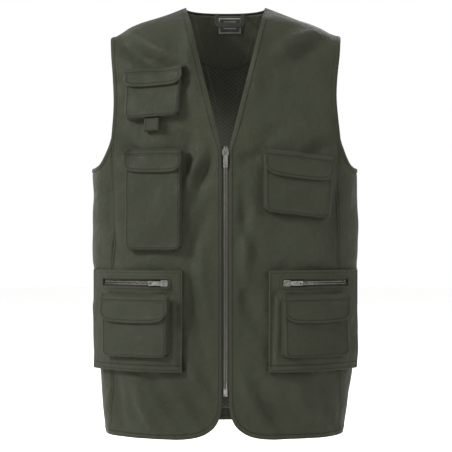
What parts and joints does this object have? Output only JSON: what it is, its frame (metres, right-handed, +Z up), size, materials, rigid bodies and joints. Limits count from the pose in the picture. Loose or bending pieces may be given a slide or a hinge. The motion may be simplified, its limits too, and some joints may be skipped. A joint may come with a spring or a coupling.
{
  "type": "fishing vest",
  "caption": "Dark olive sleeveless V-neck fishing vest with a metal front zip, flapped chest pockets and large zipped hip bags.",
  "frame": {"origin": "middle of the neck opening, level with the top of the shoulder seams, where a hanger's neck stands", "axes": "+Z up along the back, -Y out of the front, +X towards the wearer's left"},
  "size_m": [0.4634, 0.2697, 0.739],
  "materials": {
    "shell_twill": "satin twill",
    "trim_twill": "satin twill, cut as tape",
    "facing_twill": "matt twill",
    "mesh_lining": "open mesh",
    "label_cloth": "woven label",
    "zip_tape": "woven tape",
    "zip_metal": "antique nickel",
    "hook_and_loop": "hook-and-loop tape"
  },
  "bodies": {
    "vest": {"back_panel": "shell_twill", "right_front_panel": "shell_twill", "right_side_panel": "shell_twill", "right_armhole_binding": "trim_twill", "right_front_facing": "facing_twill", "right_shoulder_stay": "trim_twill", "right_zip_tape": "zip_tape", "right_zip_teeth": "zip_metal", "right_zip_top_stop": "zip_metal", "left_front_panel": "shell_twill", "left_side_panel": "shell_twill", "left_armhole_binding": "trim_twill", "left_front_facing": "facing_twill", "left_shoulder_stay": "trim_twill", "left_zip_tape": "zip_tape", "left_zip_teeth": "zip_metal", "left_zip_top_stop": "zip_metal", "back_neck_facing": "facing_twill", "back_mesh_lining": "mesh_lining", "neck_label": "label_cloth", "zip_retainer_box": "zip_metal", "zip_insert_pin": "zip_metal", "upper_chest_pouch": "shell_twill", "upper_chest_loop_tape": "hook_and_loop", "lower_chest_pouch": "shell_twill", "lower_chest_loop_tape": "hook_and_loop", "left_chest_pouch": "shell_twill", "left_chest_loop_tape": "hook_and_loop", "right_hip_pouch": "shell_twill", "right_hip_loop_tape": "hook_and_loop", "left_hip_pouch": "shell_twill", "left_hip_loop_tape": "hook_and_loop", "right_hip_bag": "shell_twill", "right_hip_zip_upper_tape": "zip_tape", "right_hip_zip_upper_teeth": "zip_metal", "right_hip_zip_lower_tape": "zip_tape", "right_hip_zip_lower_teeth": "zip_metal", "left_hip_bag": "shell_twill", "left_hip_zip_upper_tape": "zip_tape", "left_hip_zip_upper_teeth": "zip_metal", "left_hip_zip_lower_tape": "zip_tape", "left_hip_zip_lower_teeth": "zip_metal"},
    "zip_slider": {"zip_slider": "zip_metal"},
    "zip_pull": {"zip_pull": "zip_metal"},
    "tool_loop": {"tool_loop": "trim_twill"},
    "hanger_loop": {"hanger_loop": "trim_twill"},
    "right_hip_zip_slider": {"right_hip_zip_slider": "zip_metal"},
    "right_hip_zip_pull": {"right_hip_zip_pull": "zip_metal"},
    "left_hip_zip_slider": {"left_hip_zip_slider": "zip_metal"},
    "left_hip_zip_pull": {"left_hip_zip_pull": "zip_metal"},
    "upper_chest_flap": {"upper_chest_flap": "shell_twill", "upper_chest_hook_tape": "hook_and_loop"},
    "lower_chest_flap": {"lower_chest_flap": "shell_twill", "lower_chest_hook_tape": "hook_and_loop"},
    "left_chest_flap": {"left_chest_flap": "shell_twill", "left_chest_hook_tape": "hook_and_loop"},
    "right_hip_flap": {"right_hip_flap": "shell_twill", "right_hip_hook_tape": "hook_and_loop"},
    "left_hip_flap": {"left_hip_flap": "shell_twill", "left_hip_hook_tape": "hook_and_loop"}
  },
  "joints": [
    {"name": "main_zip_slide", "type": "slide", "parent": "vest", "child": "zip_slider", "axis": [0, 0, -1], "range_m": [0, 0.385]},
    {"name": "main_pull_swing", "type": "hinge", "parent": "zip_slider", "child": "zip_pull", "pos_m": [0, -0.12365, -0.25925], "axis": [-1, 0, 0], "range_deg": [0, 170]},
    {"name": "right_hip_slide_round", "type": "hinge", "parent": "vest", "child": "right_hip_zip_slider", "pos_m": [-0.0818, 0.03877, -0.477], "axis": [0, 0, -1], "range_deg": [0, 39]},
    {"name": "right_hip_pull_swing", "type": "hinge", "parent": "right_hip_zip_slider", "child": "right_hip_zip_pull", "pos_m": [-0.10219, -0.12961, -0.477], "axis": [0, 0, 1], "range_deg": [0, 170]},
    {"name": "left_hip_slide_round", "type": "hinge", "parent": "vest", "child": "left_hip_zip_slider", "pos_m": [0.0818, 0.03877, -0.477], "axis": [0, 0, 1], "range_deg": [0, 39]},
    {"name": "left_hip_pull_swing", "type": "hinge", "parent": "left_hip_zip_slider", "child": "left_hip_zip_pull", "pos_m": [0.10219, -0.12961, -0.477], "axis": [0, 0, -1], "range_deg": [0, 170]},
    {"name": "upper_chest_flap_lift", "type": "hinge", "parent": "vest", "child": "upper_chest_flap", "pos_m": [-0.11878, -0.09946, -0.11537], "axis": [-0.9795, 0.1924, -0.0603], "range_deg": [0, 120]},
    {"name": "lower_chest_flap_lift", "type": "hinge", "parent": "vest", "child": "lower_chest_flap", "pos_m": [-0.11929, -0.11216, -0.252], "axis": [-0.9727, 0.2321, 0], "range_deg": [0, 100]},
    {"name": "left_chest_flap_lift", "type": "hinge", "parent": "vest", "child": "left_chest_flap", "pos_m": [0.12029, -0.1119, -0.258], "axis": [-0.9661, -0.2337, 0.1097], "range_deg": [0, 100]},
    {"name": "right_hip_flap_lift", "type": "hinge", "parent": "vest", "child": "right_hip_flap", "pos_m": [-0.15195, -0.11516, -0.495], "axis": [-0.91, 0.4147, 0], "range_deg": [0, 110]},
    {"name": "left_hip_flap_lift", "type": "hinge", "parent": "vest", "child": "left_hip_flap", "pos_m": [0.15195, -0.11516, -0.495], "axis": [-0.91, -0.4147, 0], "range_deg": [0, 110]},
    {"name": "tool_loop_lift", "type": "hinge", "parent": "vest", "child": "tool_loop", "pos_m": [-0.12301, -0.12, -0.20292], "axis": [-0.9794, 0.2018, 0], "range_deg": [0, 90]},
    {"name": "hanger_loop_swing", "type": "hinge", "parent": "vest", "child": "hanger_loop", "pos_m": [0.008, 0.0504, -0.002], "axis": [-1, 0, 0], "range_deg": [0, 150]}
  ]
}
